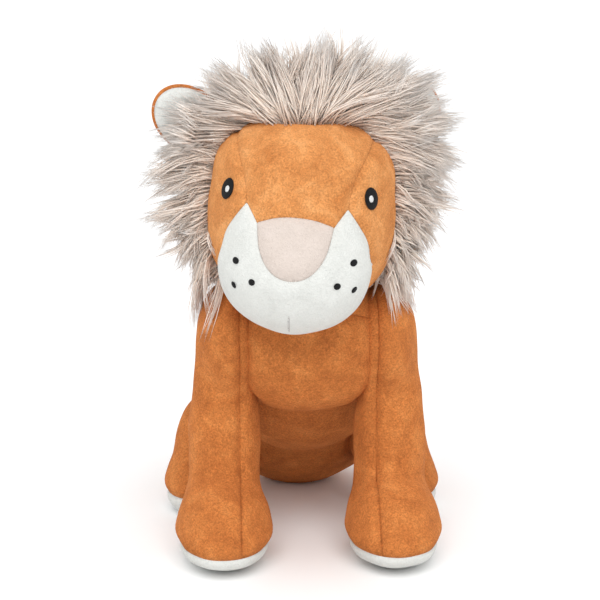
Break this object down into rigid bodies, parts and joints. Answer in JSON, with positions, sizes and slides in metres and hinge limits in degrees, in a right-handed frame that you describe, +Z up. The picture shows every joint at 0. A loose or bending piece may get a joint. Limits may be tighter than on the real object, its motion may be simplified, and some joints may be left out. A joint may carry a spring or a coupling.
{
  "type": "plush lion",
  "caption": "Sitting plush lion with a fur mane, soft turning head, swinging legs, folding ears and a tail.",
  "frame": {"origin": "middle of the bottom of the lion's box, on the surface it sits on", "axes": "+Z up, the lion faces -Y, its own left side is +X"},
  "size_m": [0.1636, 0.2648, 0.2779],
  "materials": {
    "orange_plush": "matte",
    "white_plush": "matte",
    "pink_plush": "matte",
    "taupe_fur": "matte",
    "black_thread": "satin",
    "white_thread": "satin",
    "grey_thread": "matte",
    "filling": "matte"
  },
  "bodies": {
    "head": {"cheek_left": "orange_plush", "cheek_right": "orange_plush", "eye_glint_left": "white_thread", "eye_glint_right": "white_thread", "eye_left": "black_thread", "eye_right": "black_thread", "forehead_panel": "orange_plush", "head_stuffing": "filling", "mane": "taupe_fur", "mouth_stitch": "grey_thread", "muzzle_patch": "white_plush", "nose_patch": "pink_plush", "whisker_dot_left_1": "black_thread", "whisker_dot_left_2": "black_thread", "whisker_dot_left_3": "black_thread", "whisker_dot_right_1": "black_thread", "whisker_dot_right_2": "black_thread", "whisker_dot_right_3": "black_thread"},
    "torso": {"chest_belly_panel": "orange_plush", "torso_side_left": "orange_plush", "torso_side_right": "orange_plush", "torso_stuffing": "filling"},
    "ear_left": {"ear_left_back": "orange_plush", "ear_left_lining": "white_plush"},
    "ear_right": {"ear_right_back": "orange_plush", "ear_right_lining": "white_plush"},
    "front_leg_left": {"front_leg_left_inner_panel": "orange_plush", "front_leg_left_outer_panel": "orange_plush", "front_leg_left_sole": "white_plush", "front_leg_left_stuffing": "filling"},
    "front_leg_right": {"front_leg_right_inner_panel": "orange_plush", "front_leg_right_outer_panel": "orange_plush", "front_leg_right_sole": "white_plush", "front_leg_right_stuffing": "filling"},
    "hind_leg_left": {"hind_leg_left_inner_panel": "orange_plush", "hind_leg_left_outer_panel": "orange_plush", "hind_leg_left_sole": "white_plush", "hind_leg_left_stuffing": "filling"},
    "hind_leg_right": {"hind_leg_right_inner_panel": "orange_plush", "hind_leg_right_outer_panel": "orange_plush", "hind_leg_right_sole": "white_plush", "hind_leg_right_stuffing": "filling"},
    "neck": {"neck_stuffing": "orange_plush"},
    "tail": {"tail_cover": "orange_plush", "tail_stuffing": "filling", "tail_tuft": "taupe_fur"}
  },
  "joints": [
    {"name": "head_turn", "type": "hinge", "parent": "torso", "child": "neck", "pos_m": [0, -0.054, 0.15], "axis": [0, 0, 1], "range_deg": [-10, 20], "stiffness_Nm_per_rad": 3},
    {"name": "head_nod", "type": "hinge", "parent": "neck", "child": "head", "pos_m": [0, -0.054, 0.15], "axis": [0.9936, -0.1132, 0], "range_deg": [-8, 10], "stiffness_Nm_per_rad": 3},
    {"name": "front_leg_left_swing", "type": "hinge", "parent": "torso", "child": "front_leg_left", "pos_m": [0.042, -0.05, 0.117], "axis": [1, 0, 0], "range_deg": [-20, 8], "stiffness_Nm_per_rad": 2},
    {"name": "front_leg_right_swing", "type": "hinge", "parent": "torso", "child": "front_leg_right", "pos_m": [-0.042, -0.05, 0.117], "axis": [1, 0, 0], "range_deg": [-20, 8], "stiffness_Nm_per_rad": 2},
    {"name": "hind_leg_left_swing", "type": "hinge", "parent": "torso", "child": "hind_leg_left", "pos_m": [0.044, 0.036, 0.044], "axis": [1, 0, 0], "range_deg": [-12, 10], "stiffness_Nm_per_rad": 2},
    {"name": "hind_leg_right_swing", "type": "hinge", "parent": "torso", "child": "hind_leg_right", "pos_m": [-0.044, 0.036, 0.044], "axis": [1, 0, 0], "range_deg": [-12, 10], "stiffness_Nm_per_rad": 2},
    {"name": "ear_left_fold", "type": "hinge", "parent": "head", "child": "ear_left", "pos_m": [0.04084, -0.06268, 0.22817], "axis": [0.6584, -0.075, -0.749], "range_deg": [-15, 15], "stiffness_Nm_per_rad": 0.05},
    {"name": "ear_right_fold", "type": "hinge", "parent": "head", "child": "ear_right", "pos_m": [-0.04771, -0.05259, 0.22411], "axis": [0.591, -0.0673, 0.8039], "range_deg": [-15, 15], "stiffness_Nm_per_rad": 0.05},
    {"name": "tail_swing", "type": "hinge", "parent": "torso", "child": "tail", "pos_m": [0, 0.09059, 0.0565], "axis": [0, 1, 0], "range_deg": [-30, 30], "stiffness_Nm_per_rad": 0.1}
  ]
}
